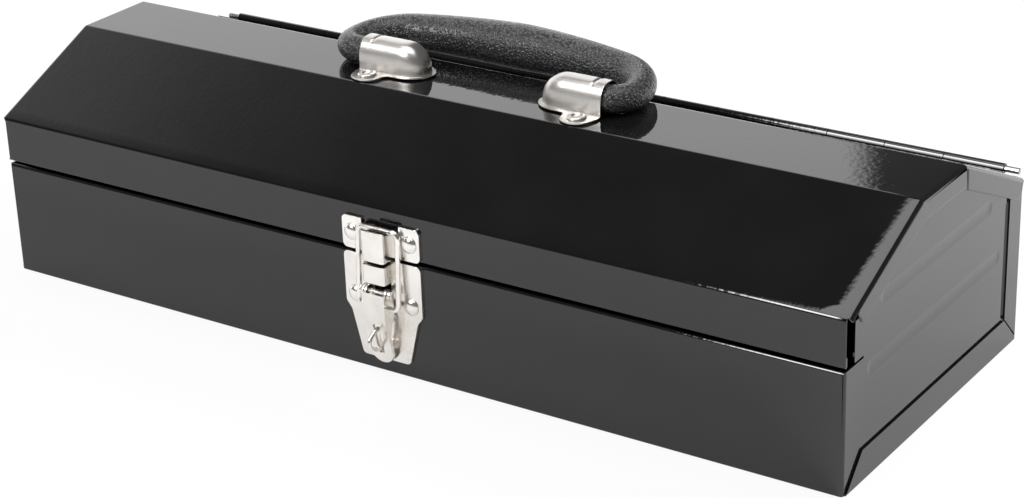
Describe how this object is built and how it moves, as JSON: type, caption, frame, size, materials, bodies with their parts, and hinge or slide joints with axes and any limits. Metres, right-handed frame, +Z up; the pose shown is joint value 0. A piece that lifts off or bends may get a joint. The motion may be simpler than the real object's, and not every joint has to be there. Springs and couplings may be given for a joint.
{
  "type": "tool box",
  "caption": "Folded-steel hip-roof tool box with a piano-hinged lid, a draw latch with padlock eye and a swinging carrying handle.",
  "frame": {"origin": "middle of the flat bottom", "axes": "+X along the box, +Y towards the hinge, +Z up"},
  "size_m": [0.4084, 0.1665, 0.1128],
  "materials": {
    "black_paint": "gloss black enamel",
    "nickel": "bright nickel plate",
    "bare_steel": "plain drawn steel",
    "vinyl": "pebbled soft vinyl"
  },
  "bodies": {
    "body": {"body_wrap": "black_paint", "body_bottom": "black_paint", "body_back": "black_paint", "hinge_leaf_body": "black_paint", "hinge_pin": "bare_steel", "latch_base_plate": "nickel", "latch_base_rivets": "nickel", "lever_pivot_pin": "nickel", "padlock_staple": "nickel"},
    "lid": {"lid_shell": "black_paint", "hinge_leaf_lid": "black_paint", "handle_bracket_left": "nickel", "handle_bracket_right": "nickel", "handle_rivets_left": "nickel", "handle_rivets_right": "nickel", "keeper_plate": "nickel", "keeper_rivets": "nickel"},
    "handle": {"handle_grip": "vinyl", "handle_core": "bare_steel"},
    "lever": {"latch_lever": "nickel"},
    "bail": {"latch_bail": "nickel"}
  },
  "joints": [
    {"name": "lid_hinge", "type": "hinge", "parent": "body", "child": "lid", "pos_m": [0, 0.0764, 0.07247], "axis": [-1, 0, 0], "range_deg": [0, 110]},
    {"name": "handle_swing", "type": "hinge", "parent": "lid", "child": "handle", "pos_m": [0, 0, 0.1025], "axis": [1, 0, 0], "range_deg": [0, 178]},
    {"name": "lever_pivot", "type": "hinge", "parent": "body", "child": "lever", "pos_m": [0, -0.08, 0.0368], "axis": [-1, 0, 0], "range_deg": [0, 90]},
    {"name": "bail_pivot", "type": "hinge", "parent": "lever", "child": "bail", "pos_m": [0, -0.0796, 0.0305], "axis": [1, 0, 0], "range_deg": [0, 79]}
  ],
  "couplings": [
    {"joint": "bail_pivot", "follows": "lever_pivot", "ratio": 0.87}
  ]
}
